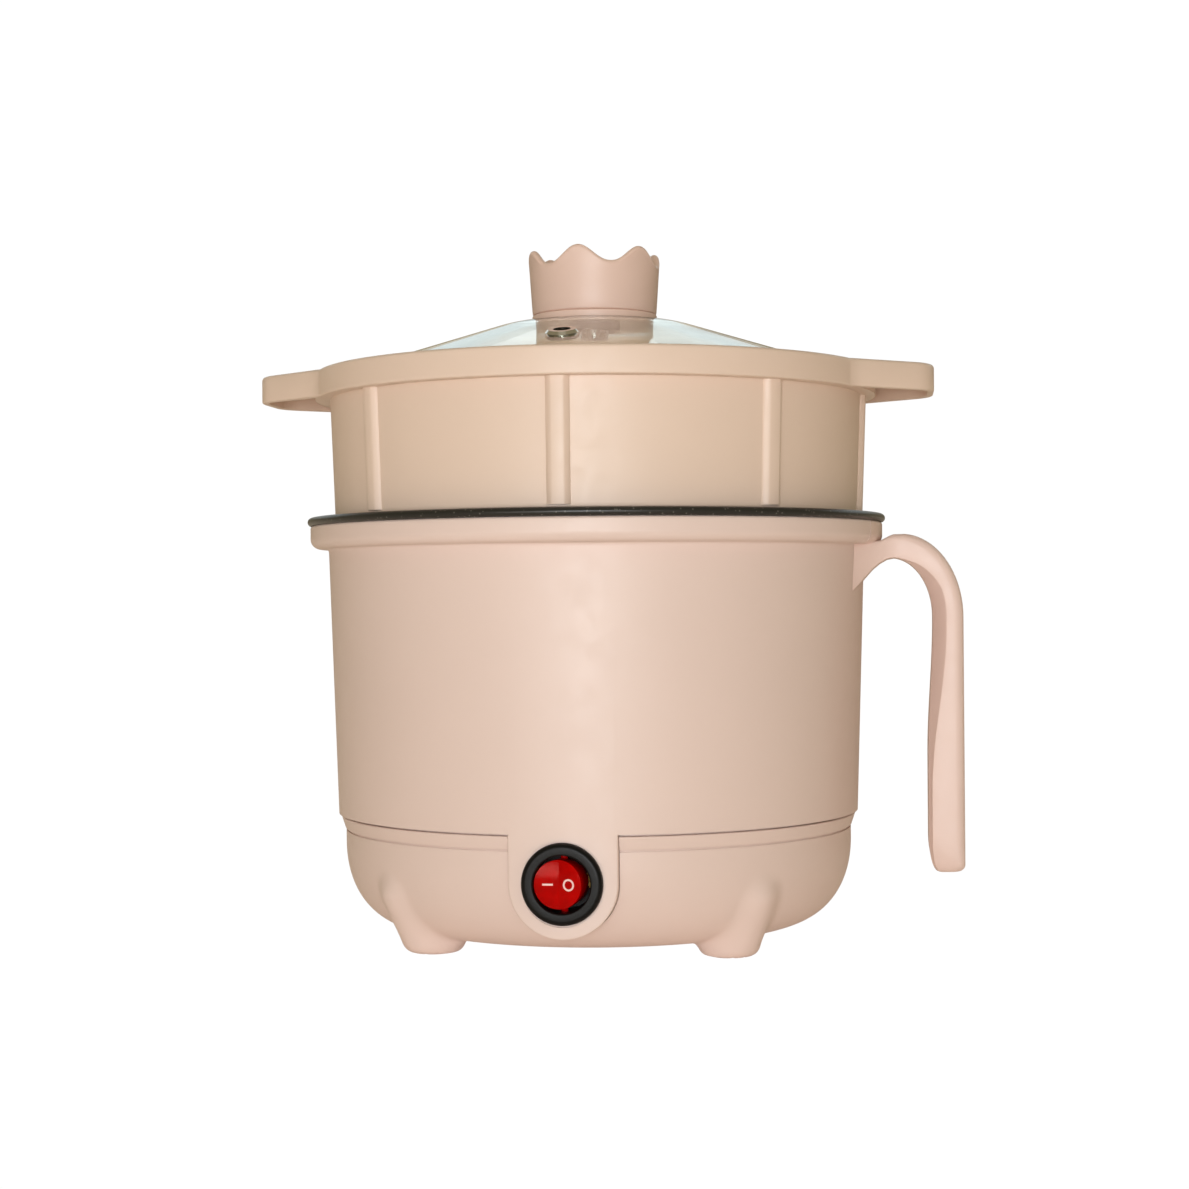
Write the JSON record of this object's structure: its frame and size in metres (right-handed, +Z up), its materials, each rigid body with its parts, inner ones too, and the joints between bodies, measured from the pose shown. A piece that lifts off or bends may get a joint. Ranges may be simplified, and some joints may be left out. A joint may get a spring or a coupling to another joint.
{
  "type": "electric multi-cooker",
  "caption": "Small electric pot with a tapered shell on swept feet, a free-ended hook handle, a steamer tier with ears, and a glass lid with a crown-shaped knob.",
  "frame": {"origin": "where the pot's axis meets the surface it stands on", "axes": "+Z up along the pot's axis, -Y out through the switch, +X towards the handle"},
  "size_m": [0.2192, 0.1806, 0.2137],
  "materials": {
    "shell_plastic": "smooth satin, pink beige",
    "handle_plastic": "smooth satin, pink beige",
    "knob_plastic": "smooth satin, pink beige",
    "steamer_plastic": "satin, peach beige",
    "pot_coating": "dark non-stick coating, glossy rim",
    "silicone": "soft, matt",
    "plate_aluminium": "cast, matt",
    "sheath_steel": "dull sheath",
    "sheet_steel": "plain sheet",
    "fixings": "zinc plated",
    "brass": "plain",
    "vent_steel": "polished",
    "lid_steel": "polished",
    "bakelite": "moulded",
    "fuse_metal": "plain",
    "glass_fibre": "braided sleeve",
    "switch_black": "fine stipple",
    "inlet_black": "fine stipple",
    "nickel": "plated",
    "wire_brown": "insulation",
    "wire_red": "insulation",
    "wire_white": "insulation",
    "wire_blue": "insulation",
    "wire_green": "insulation",
    "sleeve_white": "soft sleeve",
    "rocker_red": "translucent red",
    "mark_white": "print",
    "lamp_glass": "clear",
    "plunger_plastic": "plain",
    "spring_steel": "wire",
    "lid_glass": "clear tempered"
  },
  "bodies": {
    "root": {"outer_shell": "shell_plastic", "base_housing": "shell_plastic", "base_screws": "fixings", "inner_pot": "pot_coating", "rim_gasket": "silicone", "heater_plate": "plate_aluminium", "heater_tube": "sheath_steel", "heater_terminals": "brass", "heat_shield": "sheet_steel", "pot_studs": "fixings", "standoffs": "brass", "thermostat": "bakelite", "thermostat_blades": "brass", "thermostat_clip": "sheet_steel", "clip_screws": "fixings", "thermal_fuse": "fuse_metal", "fuse_sleeve": "glass_fibre", "fuse_clip": "sheet_steel", "switch_housing": "switch_black", "switch_terminals": "brass", "power_inlet": "inlet_black", "inlet_pins": "nickel", "live_wire": "wire_brown", "switched_wire": "wire_red", "fuse_wire": "wire_white", "heater_wire": "wire_white", "neutral_wire": "wire_blue", "lamp_wire": "wire_blue", "earth_wire": "wire_green", "wire_connectors": "sleeve_white", "handle": "handle_plastic", "handle_screws": "fixings"},
    "rocker": {"switch_rocker": "rocker_red", "rocker_marks": "mark_white", "neon_lamp": "lamp_glass", "rocker_plunger": "plunger_plastic", "plunger_spring": "spring_steel"},
    "contact": {"contact_arm": "brass"},
    "steamer": {"steamer_basket": "steamer_plastic"},
    "lid": {"glass_lid": "lid_glass", "lid_rim": "lid_steel", "steam_vent": "vent_steel", "lid_knob": "knob_plastic", "knob_collar": "knob_plastic", "knob_insert": "brass", "knob_screw": "fixings", "knob_washer": "silicone"}
  },
  "joints": [
    {"name": "steamer_lift", "type": "slide", "parent": "root", "child": "steamer", "axis": [0, 0, 1], "range_m": [0, 0.12]},
    {"name": "lid_lift", "type": "slide", "parent": "steamer", "child": "lid", "axis": [0, 0, 1], "range_m": [0, 0.1]},
    {"name": "rocker_tilt", "type": "hinge", "parent": "root", "child": "rocker", "pos_m": [0, -0.076, 0.0252], "axis": [0, 0, 1], "range_deg": [0, 18]},
    {"name": "contact_tilt", "type": "hinge", "parent": "root", "child": "contact", "pos_m": [0, -0.0709, 0.0252], "axis": [0, 0, 1], "range_deg": [-12, 0]}
  ],
  "couplings": [
    {"joint": "contact_tilt", "follows": "rocker_tilt", "ratio": -0.66667}
  ]
}
